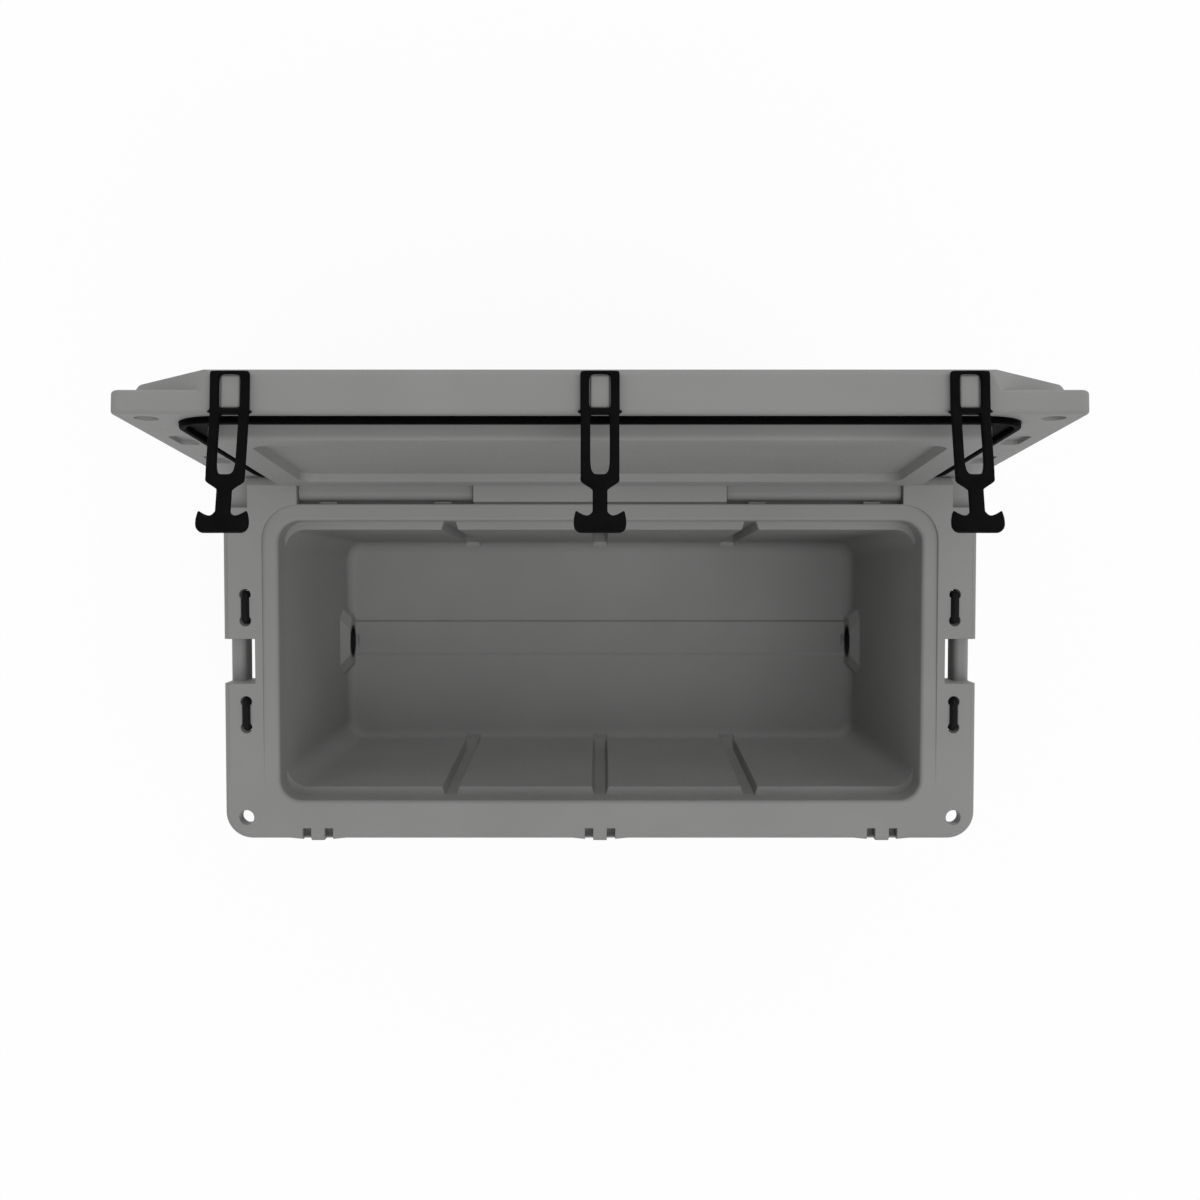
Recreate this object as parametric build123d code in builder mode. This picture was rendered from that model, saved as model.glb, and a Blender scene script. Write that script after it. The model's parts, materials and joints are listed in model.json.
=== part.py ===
"""Rotomoulded ice chest with a lift-up lid, in millimetres.

X runs along the chest, +Y points to the hinge side, +Z is up. The origin is the middle of the flat base.
The lid is drawn shut and then turned open about its hinge, which is how the chest stands at rest.
"""

import os
from math import radians, tan

from build123d import *

os.makedirs("parts", exist_ok=True)

# Chest: the flange is its widest line, and the tub hangs below it
BODY_LENGTH = 960.0
BODY_WIDTH = 456.0
FLANGE_THICK = 22.0
FLANGE_CORNER = 34.0
FLANGE_ROUND = 5.0
END_OVERHANG = 40.0
SIDE_OVERHANG = 6.0
TUB_END_DRAFT = 14.0
TUB_SIDE_DRAFT = 10.0
TUB_CORNER = 46.0
BASE_ROUND = 12.0
SKIN = 5.0
FOAM_GAP = 0.3
RIM_SOLID = 36.0

# Cavity
END_RIM = 70.0
SIDE_RIM = 49.0
CAVITY_DEPTH = 394.0
CAVITY_CORNER = 27.0
CAVITY_END_DRAFT = 22.0
CAVITY_SIDE_DRAFT = 17.0
LEDGE_DEPTH = 42.0
LEDGE_WIDTH = 11.0
FLOOR_THICK = 58.0
FLOOR_ROUND = 16.0
GROOVE_SPACING = 195.5
GROOVE_MOUTH = 22.0
GROOVE_BACK = 15.0
GROOVE_DEPTH = 12.0
GROOVE_FOOT = 40.0
GROOVE_FOOT_DEPTH = 0.5
CHANNEL_WIDTH = 54.0
CHANNEL_DEPTH = 3.0
CHANNEL_Y = 4.0

# Raised border on three sides of the rim, highest at the back and fading out near the front
LAND_MARGIN = 20.0
LAND_CORNER = 45.0
BORDER_HEIGHT = 4.0
BORDER_SET_IN = 6.0
BORDER_FRONT_SET_IN = 63.0

# Front keepers for the latches, and the latch wells below them
LATCH_FROM_END = 118.0
KEEPER_WIDTH = 72.0
KEEPER_PROUD = 1.8
SLOT_WIDTH = 10.6
SLOT_DEPTH = 13.0
SLOT_DROP = 19.0
SLOT_WALL = 2.0
TONGUE_WIDTH = 17.5
TONGUE_PROUD = 3.0
TONGUE_HEIGHT = 45.0
WELL_WIDTH = 66.0
WELL_DEPTH = 8.0
WELL_DROP = 128.0

# Panels pressed into the long walls
PANEL_DEPTH = 3.0
PANEL_LOW = 70.0
PANEL_HEIGHT = 230.0
PANEL_ROUND = 18.0
PANEL_MARGIN = 26.0

# Padlock holes and the pockets at the back corners
PADLOCK_SET_IN = 27.0
PADLOCK_RADIUS = 9.5
CORNER_POCKET = 32.0
CORNER_POCKET_DEPTH = 14.0

# Moulded hand bars at the ends
HAND_LENGTH = 57.0
HAND_SLOT = 20.0
HAND_TOP_DROP = 35.0
HAND_HEIGHT = 38.0
HAND_POST = 13.5
HAND_ROUND = 7.0

# Rope handles
ROPE_RADIUS = 5.0
ROPE_MOUTH_RADIUS = 7.3
ROPE_MOUTH_DEPTH = 6.0
ROPE_NECK_RADIUS = 5.5
ROPE_CONE_DEPTH = 8.0
ROPE_SET_IN = 28.0
ROPE_INNER = 52.0
ROPE_PITCH = 33.0
ROPE_TROUGH = 4.0
ROPE_BEND = 8.0
ROPE_PIVOT_DROP = 6.0
STOP_RADIUS = 8.5
STOP_LENGTH = 16.0
GRIP_RADIUS = 14.0
GRIP_LENGTH = 84.0
GRIP_ROUND = 4.0
ROPE_CLEARANCE = 0.3

# Hanging rope from one hole to the middle of the grip: distance along Y from the grip's middle, drop
ROPE_KNEES = [(85.0, 46.0), (78.0, 82.0), (58.0, 108.0)]
ROPE_ARC_SHARE = 0.45

# Hinge
HINGE_FROM_BACK = 14.0
HINGE_DROP = 14.0
RAIL_RADIUS = 20.7
RAIL_LINE_WIDTH = 3.0
RAIL_LINE_DEPTH = 5.0
KNUCKLE_RADIUS = 10.0
KNUCKLE_LENGTH = 222.0
KNUCKLE_FROM_END = 96.0
KNUCKLE_SIDE_GAP = 1.0
HINGE_FRONT_GAP = 4.0
PIN_RADIUS = 4.0
PIN_BOSS = 30.0
PIN_RUNNING = 0.06
STOP_CLEARANCE = 0.4
TAB_WIDTH = 22.0
TAB_SPACING = 146.0
TAB_CLEARANCE = 0.6
TAB_ROOT = 1.2
TAB_DROP = 3.0
TAB_HEIGHT = 9.0

# Lid
LID_GAP = 7.0
LID_OPEN = 95.7
LID_HEIGHT = 45.0
LID_OVERHANG = 2.5
LID_CORNER = 10.0
LID_LIP = 24.0
LID_EDGE_ROUND = 4.0
LID_TOP_ROUND = 8.0
CORNER_CUT_LENGTH = 99.5
CORNER_CUT_WIDTH = 86.0
CORNER_CUT_DRAFT = 20.0
LID_PANEL_DEPTH = 2.5
LID_PANEL_MARGIN = 44.0
LID_PANEL_END = 91.0
LID_HOLE_RADIUS = 12.0
LID_SKIN = 6.0
LID_END_SOLID = 84.0
LID_FRONT_SOLID = 13.0
PLUG_CLEARANCE = 6.0
PLUG_DEPTH = 17.0
PLUG_ROUND = 5.0
PLUG_FRAME = 38.0
PLUG_RECESS = 10.0
PANEL_TAPER = 12.0
ROPE_RELIEF_DEPTH = 5.0
ROPE_RELIEF_MARGIN = 6.0

# Gasket: a bulb all round, with a thin flap from the bulb to the plug
GASKET_END_SET_IN = 55.0
GASKET_FRONT_SET_IN = 18.0
GASKET_BACK_SET_IN = 40.5
GASKET_CORNER = 45.0
GASKET_WIDTH = 8.0
GASKET_SEAT = 4.5
GASKET_FLAP = 1.5
FLAP_CLEARANCE = 1.0
GASKET_CLEARANCE = 0.3
GASKET_ROUND = 3.0

# Latches: a loop round the lid's tongue, and a strap that swings from the loop's cross bar
STRAP_THICK = 8.0
STRAP_PROUD = 8.4
LOOP_WIDTH = 39.6
LOOP_LOW = -1.9
LOOP_TOP_DROP = 3.9
LOOP_BAR = 3.6
WINDOW_WIDTH = 19.6
LATCH_CLEARANCE = 0.4
ROD_RADIUS = 2.0
ROD_HEIGHT = 0.9
ROD_RUNNING = 0.08
EYE_RADIUS = 3.6
EYE_WIDTH = 18.6
STRAP_WIDTH = 36.5
STRAP_HEAD = 3.7
STRAP_HEAD_GAP = 5.5
WINDOW_END = 67.3
SHOULDER_DROP = 70.4
NECK_START = 78.4
NECK_WIDTH = 12.5
T_WIDTH = 49.0
T_SADDLE = 105.4
T_HORN = 101.4
T_BOTTOM = 122.6
T_ROUND = 7.0
STRAP_LEAN = 11.0

# Drains
DRAIN_RISE = 20.0
DRAIN_RADIUS = 25.0
DRAIN_BORE = 21.0
DRAIN_PAD_WIDTH = 71.0
DRAIN_PAD_HEIGHT = 47.0
DRAIN_PAD_PROUD = 10.0
DRAIN_PAD_CHAMFER = 16.0
DRAIN_PAD_FLARE = 23.0
DRAIN_PAD_RISE = 15.0
DRAIN_WELL_RADIUS = 42.0
DRAIN_WELL_DEPTH = 26.0
DRAIN_FLANGE_RADIUS = 32.0
DRAIN_FLANGE_THICK = 4.0
DRAIN_CLEARANCE = 0.2
WASHER_RADIUS = 29.0
WASHER_THICK = 2.5
CAP_RADIUS = 30.0
CAP_THICK = 9.0
CAP_SHANK = 18.0
CAP_CLEARANCE = 0.3
WING_LENGTH = 46.0
WING_WIDTH = 11.0
WING_HEIGHT = 10.0

# Feet
FOOT_RADIUS = 24.0
FOOT_THICK = 9.0
FOOT_END_SET_IN = 62.0
FOOT_SIDE_SET_IN = 52.0
FOOT_CLEARANCE = 0.2
SCREW_RADIUS = 3.0
SCREW_HEAD_RADIUS = 6.0
SCREW_HEAD_THICK = 3.0
SCREW_SET_IN = 1.5
SCREW_LENGTH = 24.0
SCREW_BOSS_RADIUS = 12.0

# Places worked out from the sizes above
HALF_LENGTH = BODY_LENGTH / 2
HALF_WIDTH = BODY_WIDTH / 2
RIM = FLOOR_THICK + CAVITY_DEPTH
FLANGE_LOW = RIM - FLANGE_THICK
TUB_TOP = (BODY_LENGTH - 2 * END_OVERHANG, BODY_WIDTH - 2 * SIDE_OVERHANG, TUB_CORNER)
TUB_BASE = (TUB_TOP[0] - 2 * TUB_END_DRAFT, TUB_TOP[1] - 2 * TUB_SIDE_DRAFT, TUB_CORNER)
MOUTH = (BODY_LENGTH - 2 * END_RIM, BODY_WIDTH - 2 * SIDE_RIM, CAVITY_CORNER)
LEDGE = (MOUTH[0], MOUTH[1] - 2 * LEDGE_WIDTH, CAVITY_CORNER)
FLOOR = (LEDGE[0] - 2 * CAVITY_END_DRAFT, LEDGE[1] - 2 * CAVITY_SIDE_DRAFT, CAVITY_CORNER)
LEDGE_Z = RIM - LEDGE_DEPTH
LATCH_X = HALF_LENGTH - LATCH_FROM_END
LATCHES = {"left": -LATCH_X, "middle": 0.0, "right": LATCH_X}
SIDES = {"left": -1, "right": 1}
PADLOCK_X = HALF_LENGTH - PADLOCK_SET_IN
PADLOCK_Y = PADLOCK_SET_IN - HALF_WIDTH
ROPE_X = HALF_LENGTH - ROPE_SET_IN
ROPE_OUTER = ROPE_INNER + ROPE_PITCH
ROPE_MIDDLE = (ROPE_INNER + ROPE_OUTER) / 2
ROPE_PIVOT_Z = FLANGE_LOW - ROPE_PIVOT_DROP
GRIP_Z = ROPE_PIVOT_Z - ROPE_KNEES[-1][1]
HAND_WALL = HALF_LENGTH - END_OVERHANG
HINGE_Y = HALF_WIDTH - HINGE_FROM_BACK
HINGE_Z = RIM - HINGE_DROP
KNUCKLE_X = HALF_LENGTH - KNUCKLE_FROM_END - KNUCKLE_LENGTH / 2
RECESS_FRONT = HINGE_Y - KNUCKLE_RADIUS - HINGE_FRONT_GAP
LID_HALF = HALF_LENGTH + LID_OVERHANG
LID_LOW = RIM + LID_GAP
LID_TOP = LID_LOW + LID_HEIGHT
OPEN_TURN = Pos(0, HINGE_Y, HINGE_Z) * Rot(X=-LID_OPEN) * Pos(0, -HINGE_Y, -HINGE_Z)
PLUG = (MOUTH[0] - 2 * PLUG_CLEARANCE, MOUTH[1] - 2 * PLUG_CLEARANCE, CAVITY_CORNER - PLUG_ROUND)
GASKET_END = HALF_LENGTH - GASKET_END_SET_IN
GASKET_FRONT = GASKET_FRONT_SET_IN - HALF_WIDTH
GASKET_BACK = HALF_WIDTH - GASKET_BACK_SET_IN
GASKET = (2 * GASKET_END, GASKET_BACK - GASKET_FRONT, GASKET_CORNER)
GASKET_MIDDLE = (GASKET_BACK + GASKET_FRONT) / 2
BORDER_FRONT = BORDER_FRONT_SET_IN - HALF_WIDTH
STRAP_FRONT = -HALF_WIDTH - STRAP_PROUD
STRAP_Y = STRAP_FRONT + STRAP_THICK / 2
ROD_Z = LID_LOW + ROD_HEIGHT
LOOP_TOP = LID_TOP - LOOP_TOP_DROP
LEAN_TURN = Pos(0, STRAP_Y, ROD_Z) * Rot(X=-STRAP_LEAN) * Pos(0, -STRAP_Y, -ROD_Z)
DRAIN_Z = FLOOR_THICK + DRAIN_RISE
DRAIN_FACE = FLOOR[0] / 2 - DRAIN_PAD_PROUD
DRAIN_WALL = TUB_BASE[0] / 2 + TUB_END_DRAFT * DRAIN_Z / FLANGE_LOW
DRAIN_SEAT = DRAIN_WALL - DRAIN_WELL_DEPTH
FITTING_FACE = DRAIN_SEAT + DRAIN_FLANGE_THICK
WASHER_FACE = FITTING_FACE + WASHER_THICK
CAP_FACE = WASHER_FACE + CAP_THICK
FOOT_X = TUB_BASE[0] / 2 - FOOT_END_SET_IN
FOOT_Y = TUB_BASE[1] / 2 - FOOT_SIDE_SET_IN


def plate(size, low, high):
    """A flat plate with round corners, between two heights."""
    with BuildPart() as block:
        with BuildSketch(Plane.XY.offset(low)):
            RectangleRounded(*size)
        extrude(amount=high - low)
    return block.part


def tapered(low_size, low, high_size, high):
    """A block with round corners whose walls lean from one size to another."""
    with BuildPart() as block:
        with BuildSketch(Plane.XY.offset(low)):
            RectangleRounded(*low_size)
        with BuildSketch(Plane.XY.offset(high)):
            RectangleRounded(*high_size)
        loft(ruled=True)
    return block.part


def grown(size, margin):
    """A round-cornered size, larger by a margin on every side."""
    return (size[0] + 2 * margin, size[1] + 2 * margin, size[2] + margin)


def box_between(low, high):
    """A box between two corners."""
    with BuildPart() as block:
        with Locations(tuple((a + b) / 2 for a, b in zip(low, high))):
            Box(*[b - a for a, b in zip(low, high)])
    return block.part


def rod_along_x(start, end, y, z, radius):
    """A round bar along X."""
    with BuildPart() as bar:
        with BuildSketch(Plane.YZ.offset(min(start, end))):
            with Locations((y, z)):
                Circle(radius)
        extrude(amount=abs(end - start))
    return bar.part


def tube_along(points, radii, radius):
    """A round rope along straight runs joined by arcs."""
    with BuildPart() as tube:
        with BuildLine() as route:
            FilletPolyline(*points, radius=radii)
        with BuildSketch(Plane(origin=route.line @ 0, z_dir=route.line % 0)):
            Circle(radius)
        sweep()
    return tube.part


def cavity_cut():
    """The space inside the chest up to the underside of the flange."""
    with BuildPart() as lower:
        add(tapered(FLOOR, FLOOR_THICK, LEDGE, LEDGE_Z))
        fillet(lower.edges().group_by(Axis.Z)[0], FLOOR_ROUND)
    with BuildPart() as space:
        add(lower.part)
        add(plate(MOUTH, LEDGE_Z, FLANGE_LOW))
        for side in (-1, 1):
            for x in (-GROOVE_SPACING, 0, GROOVE_SPACING):
                add(groove_cut(x, side))
        with BuildSketch(Plane.YZ.offset(-DRAIN_FACE)):
            with BuildLine():
                Polyline(
                    (CHANNEL_Y - CHANNEL_WIDTH / 2 - CHANNEL_DEPTH, FLOOR_THICK + CHANNEL_DEPTH),
                    (CHANNEL_Y - CHANNEL_WIDTH / 2 + CHANNEL_DEPTH, FLOOR_THICK - CHANNEL_DEPTH),
                    (CHANNEL_Y + CHANNEL_WIDTH / 2 - CHANNEL_DEPTH, FLOOR_THICK - CHANNEL_DEPTH),
                    (CHANNEL_Y + CHANNEL_WIDTH / 2 + CHANNEL_DEPTH, FLOOR_THICK + CHANNEL_DEPTH),
                    close=True,
                )
            make_face()
        extrude(amount=2 * DRAIN_FACE)
    return space.part


def groove_cut(x, side):
    """One divider groove, leaning with its wall from the ledge down and running out at the floor."""
    low = FLOOR_THICK + CHANNEL_DEPTH
    full = min(GROOVE_DEPTH, LEDGE_WIDTH)
    lean = CAVITY_SIDE_DRAFT / (LEDGE_Z - FLOOR_THICK)
    with BuildPart() as groove:
        for z, depth in ((low, GROOVE_FOOT_DEPTH), (low + GROOVE_FOOT, full), (LEDGE_Z, full)):
            wall = FLOOR[1] / 2 + lean * (z - FLOOR_THICK)
            with BuildSketch(Plane.XY.offset(z)):
                with BuildLine():
                    Polyline(
                        (x - GROOVE_MOUTH / 2, side * (wall - GROOVE_DEPTH)),
                        (x - GROOVE_MOUTH / 2, side * wall),
                        (x - GROOVE_BACK / 2, side * (wall + depth)),
                        (x + GROOVE_BACK / 2, side * (wall + depth)),
                        (x + GROOVE_MOUTH / 2, side * wall),
                        (x + GROOVE_MOUTH / 2, side * (wall - GROOVE_DEPTH)),
                        close=True,
                    )
                make_face()
        loft(ruled=True)
    return groove.part


def insulation(gap):
    """The foam between the two skins, smaller all over by a gap."""
    inset = SKIN + gap
    side_inset = WELL_DEPTH + inset
    outer_base = (TUB_BASE[0] - 2 * inset, TUB_BASE[1] - 2 * side_inset, TUB_CORNER - inset)
    outer_top = (TUB_TOP[0] - 2 * inset, TUB_TOP[1] - 2 * side_inset, TUB_CORNER - inset)
    groove_inset = LEDGE_WIDTH + inset
    inner_floor = (FLOOR[0] + 2 * inset, FLOOR[1] + 2 * groove_inset, CAVITY_CORNER + inset)
    inner_top = (LEDGE[0] + 2 * inset, LEDGE[1] + 2 * groove_inset, CAVITY_CORNER + inset)
    with BuildPart() as foam:
        add(tapered(outer_base, FOOT_THICK + inset, outer_top, RIM - RIM_SOLID - gap))
        add(
            tapered(inner_floor, FLOOR_THICK - CHANNEL_DEPTH - inset, inner_top, RIM),
            mode=Mode.SUBTRACT,
        )
        drain_tunnel = DRAIN_WELL_RADIUS + inset
        add(rod_along_x(-HALF_LENGTH, HALF_LENGTH, 0, DRAIN_Z, drain_tunnel), mode=Mode.SUBTRACT)
        with BuildSketch(Plane.XY):
            with GridLocations(2 * FOOT_X, 2 * FOOT_Y, 2, 2):
                Circle(SCREW_BOSS_RADIUS + gap)
        extrude(amount=FLOOR_THICK, mode=Mode.SUBTRACT)
    return foam.part


def rim_plate():
    """The flange round the mouth, with its edges rounded."""
    with BuildPart() as rim:
        add(plate((BODY_LENGTH, BODY_WIDTH, FLANGE_CORNER), FLANGE_LOW, RIM))
        add(plate(MOUTH, FLANGE_LOW, RIM), mode=Mode.SUBTRACT)
        fillet(rim.edges().group_by(Axis.Z)[-1], FLANGE_ROUND)
    return rim.part


def rim_border():
    """The low raised border round the ends and back of the rim, sloping away to nothing in front."""
    land = grown(MOUTH, LAND_MARGIN)
    edge = (BODY_LENGTH - 2 * BORDER_SET_IN, BODY_WIDTH - 2 * BORDER_SET_IN, FLANGE_CORNER - BORDER_SET_IN)
    with BuildPart() as border:
        add(plate(edge, RIM, RIM + BORDER_HEIGHT))
        add(plate((land[0], land[1], LAND_CORNER), RIM, RIM + BORDER_HEIGHT), mode=Mode.SUBTRACT)
        add(hinge_rail())
        with BuildSketch(Plane.YZ.offset(-HALF_LENGTH)):
            with BuildLine():
                Polyline(
                    (HALF_WIDTH, RIM + BORDER_HEIGHT),
                    (BORDER_FRONT, RIM),
                    (-HALF_WIDTH, RIM),
                    (-HALF_WIDTH, RIM + BORDER_HEIGHT),
                    close=True,
                )
            make_face()
        extrude(amount=BODY_LENGTH, mode=Mode.SUBTRACT)
    return border.part


def rail_line():
    """The narrow line that parts the land from the back border, from knuckle to knuckle."""
    end = KNUCKLE_X + KNUCKLE_LENGTH / 2
    low = (-end, RECESS_FRONT, RIM - RAIL_LINE_DEPTH)
    return box_between(low, (end, RECESS_FRONT + RAIL_LINE_WIDTH, RIM + BORDER_HEIGHT))


def hinge_rail():
    """The round back edge of the rim and border, centred on the hinge so that the lid clears it."""
    with BuildPart() as rail:
        add(rod_along_x(-HALF_LENGTH, HALF_LENGTH, HINGE_Y, HINGE_Z, RAIL_RADIUS))
        outline = (BODY_LENGTH, 2 * (HINGE_Y + RAIL_RADIUS), FLANGE_CORNER)
        add(plate(outline, FLANGE_LOW, RIM + BORDER_HEIGHT), mode=Mode.INTERSECT)
    return rail.part


def keeper(x):
    """The swelling of the front flange round one keeper, open at its two slots."""
    back = SLOT_DEPTH - HALF_WIDTH
    with BuildPart() as block:
        with BuildSketch(Plane.XY.offset(FLANGE_LOW)):
            with BuildLine():
                Polyline(
                    (x - KEEPER_WIDTH / 2, back),
                    (x - KEEPER_WIDTH / 2, -HALF_WIDTH),
                    (x - KEEPER_WIDTH / 4, -HALF_WIDTH - KEEPER_PROUD),
                    (x + KEEPER_WIDTH / 4, -HALF_WIDTH - KEEPER_PROUD),
                    (x + KEEPER_WIDTH / 2, -HALF_WIDTH),
                    (x + KEEPER_WIDTH / 2, back),
                    close=True,
                )
            make_face()
        extrude(amount=FLANGE_THICK)
        fillet(block.edges().group_by(Axis.Z)[-1].sort_by(Axis.Y)[:3], FLANGE_ROUND)
        add(slot_cuts(x), mode=Mode.SUBTRACT)
    return block.part


def slot_cuts(x):
    """The two slots beside one tongue: deep pockets behind a thin wall, open in front of that wall."""
    with BuildPart() as slots:
        for middle in (x - (TONGUE_WIDTH + SLOT_WIDTH) / 2, x + (TONGUE_WIDTH + SLOT_WIDTH) / 2):
            near = middle - SLOT_WIDTH / 2
            far = middle + SLOT_WIDTH / 2
            back = SLOT_DEPTH - HALF_WIDTH
            add(box_between((near, SLOT_WALL - HALF_WIDTH, RIM - SLOT_DROP), (far, back, RIM)))
            add(box_between((near, -HALF_WIDTH - SLOT_DEPTH, RIM - FLANGE_ROUND), (far, back, RIM)))
            add(box_between((near, -HALF_WIDTH - SLOT_DEPTH, FLANGE_LOW), (far, -HALF_WIDTH, RIM)))
    return slots.part


def tongue(x):
    """One keeper tongue, which a latch window drops over."""
    with BuildPart() as block:
        add(
            box_between(
                (x - TONGUE_WIDTH / 2, -HALF_WIDTH - TONGUE_PROUD, RIM - TONGUE_HEIGHT),
                (x + TONGUE_WIDTH / 2, -HALF_WIDTH + SLOT_DEPTH, RIM - FLANGE_ROUND / 2),
            )
        )
        fillet(block.edges().group_by(Axis.Y)[0], TONGUE_PROUD / 2)
    return block.part


def latch_well(x):
    """The hollow in the front wall where a latch hangs below its keeper."""
    wall = -TUB_TOP[1] / 2
    with BuildPart() as well:
        with BuildSketch(Plane.XZ.offset(-wall - WELL_DEPTH)):
            with Locations((x, FLANGE_LOW - WELL_DROP / 2)):
                RectangleRounded(WELL_WIDTH, WELL_DROP + 2 * WELL_DEPTH, WELL_DEPTH)
        extrude(amount=3 * WELL_DEPTH)
        add(box_between((-BODY_LENGTH, -BODY_WIDTH, FLANGE_LOW), (BODY_LENGTH, 0, RIM)), mode=Mode.SUBTRACT)
    return well.part


def wall_panels(side):
    """Shallow panels pressed into one long wall, between the latch wells."""
    lean = TUB_SIDE_DRAFT / FLANGE_LOW
    wall = Plane(
        origin=(0, side * TUB_BASE[1] / 2, 0),
        x_dir=(-side, 0, 0),
        z_dir=(0, side, -lean),
    )
    width = LATCH_X - WELL_WIDTH - 2 * PANEL_MARGIN
    with BuildPart() as panels:
        with BuildSketch(wall):
            with Locations((0, PANEL_LOW + PANEL_HEIGHT / 2)):
                with GridLocations(LATCH_X, 0, 2, 1):
                    RectangleRounded(width, PANEL_HEIGHT, PANEL_ROUND)
        extrude(amount=-PANEL_DEPTH, taper=45)
    return panels.part


def hand_bar(side):
    """The moulded bar under one end of the flange, on its two posts."""
    low = RIM - HAND_TOP_DROP - HAND_HEIGHT
    with BuildPart() as handle:
        for end in (-1, 1):
            middle = end * (HAND_LENGTH + HAND_POST) / 2
            with BuildSketch(Plane.XY.offset(low)):
                with Locations((side * (HALF_LENGTH - END_OVERHANG / 2 - SKIN / 2), middle)):
                    Rectangle(END_OVERHANG + SKIN, HAND_POST)
            extrude(amount=FLANGE_LOW - low)
    with BuildPart() as bar:
        with BuildSketch(Plane.XZ.offset(-HAND_LENGTH / 2 - HAND_POST / 2)):
            with Locations((side * (HALF_LENGTH - (END_OVERHANG - HAND_SLOT) / 2), low + HAND_HEIGHT / 2)):
                RectangleRounded(END_OVERHANG - HAND_SLOT, HAND_HEIGHT, HAND_ROUND)
        extrude(amount=HAND_LENGTH + HAND_POST)
    with BuildPart() as block:
        add(handle.part)
        add(bar.part)
    return block.part


def drain_pad(side):
    """The flat boss round one drain, its flanks leaning back to the end wall."""
    low = FLOOR_THICK - CHANNEL_DEPTH
    root = DRAIN_FACE + DRAIN_PAD_PROUD + 2 * SKIN
    with BuildPart() as pad:
        for x, flare, rise in ((DRAIN_FACE, 0, 0), (root, DRAIN_PAD_FLARE, DRAIN_PAD_RISE)):
            half = DRAIN_PAD_WIDTH / 2 + flare
            top = FLOOR_THICK + DRAIN_PAD_HEIGHT + rise
            with BuildSketch(Plane.YZ.offset(side * x)):
                with BuildLine():
                    Polyline(
                        (-half, low),
                        (half, low),
                        (half, top - DRAIN_PAD_CHAMFER),
                        (half - DRAIN_PAD_CHAMFER, top),
                        (DRAIN_PAD_CHAMFER - half, top),
                        (-half, top - DRAIN_PAD_CHAMFER),
                        close=True,
                    )
                make_face()
        loft(ruled=True)
    return pad.part


def end_holes(side):
    """Rope holes, rope troughs, hand notch, padlock hole and back pocket of one end of the flange."""
    rope_places = [(side * ROPE_X, y) for y in (-ROPE_OUTER, -ROPE_INNER, ROPE_INNER, ROPE_OUTER)]
    with BuildPart() as holes:
        with BuildSketch(Plane.XY.offset(RIM - ROPE_MOUTH_DEPTH)):
            with Locations(*rope_places):
                Circle(ROPE_MOUTH_RADIUS)
        extrude(amount=ROPE_MOUTH_DEPTH + BORDER_HEIGHT)
        for place in rope_places:
            with BuildSketch(Plane.XY.offset(RIM - ROPE_MOUTH_DEPTH)):
                with Locations(place):
                    Circle(ROPE_MOUTH_RADIUS)
            with BuildSketch(Plane.XY.offset(RIM - ROPE_MOUTH_DEPTH - ROPE_CONE_DEPTH)):
                with Locations(place):
                    Circle(ROPE_NECK_RADIUS)
            loft(ruled=True)
        with BuildSketch(Plane.XY.offset(FLANGE_LOW)):
            with Locations(*rope_places):
                Circle(ROPE_NECK_RADIUS)
            with Locations((side * PADLOCK_X, PADLOCK_Y)):
                Circle(PADLOCK_RADIUS)
            with Locations((side * (HAND_WALL + END_OVERHANG), 0)):
                Rectangle(2 * END_OVERHANG, HAND_LENGTH)
        extrude(amount=FLANGE_THICK + BORDER_HEIGHT)
        with BuildSketch(Plane.XY.offset(RIM - ROPE_TROUGH - ROPE_CLEARANCE)):
            for end in (-1, 1):
                with Locations((side * ROPE_X, end * ROPE_MIDDLE)):
                    Rectangle(2 * (ROPE_RADIUS + ROPE_CLEARANCE), ROPE_PITCH)
        extrude(amount=ROPE_TROUGH + ROPE_CLEARANCE + BORDER_HEIGHT)
        with BuildSketch(Plane.XY.offset(RIM - CORNER_POCKET_DEPTH)):
            with Locations((side * HALF_LENGTH, HALF_WIDTH)):
                Rectangle(2 * CORNER_POCKET, 2 * CORNER_POCKET)
        extrude(amount=CORNER_POCKET_DEPTH + BORDER_HEIGHT)
    return holes.part


def hinge_recess(side):
    """The gap in the back flange for one lid knuckle; its sloped floor stops the open lid."""
    reach = KNUCKLE_RADIUS + STOP_CLEARANCE
    length = KNUCKLE_LENGTH + 2 * KNUCKLE_SIDE_GAP
    lean = Plane(origin=(0, HINGE_Y, HINGE_Z)).rotated((90 - LID_OPEN, 0, 0))
    with BuildPart() as below:
        with BuildSketch(lean.offset(-reach)):
            with Locations((side * KNUCKLE_X, 0)):
                Rectangle(length, BODY_WIDTH / 4)
        extrude(amount=reach + HINGE_DROP + 2 * BORDER_HEIGHT)
        add(
            box_between((-BODY_LENGTH, 0, 0), (BODY_LENGTH, RECESS_FRONT, 2 * RIM)),
            mode=Mode.SUBTRACT,
        )
    return below.part


def hinge_tabs(side):
    """Two small tabs that close part of the gap in front of one knuckle."""
    top = RIM - TAB_DROP
    with BuildPart() as tabs:
        for end in (-1, 1):
            middle = side * KNUCKLE_X + end * TAB_SPACING / 2
            add(
                box_between(
                    (middle - TAB_WIDTH / 2, RECESS_FRONT - TAB_ROOT, top - TAB_HEIGHT),
                    (middle + TAB_WIDTH / 2, RECESS_FRONT + HINGE_FRONT_GAP - TAB_CLEARANCE, top),
                )
            )
    return tabs.part


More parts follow.
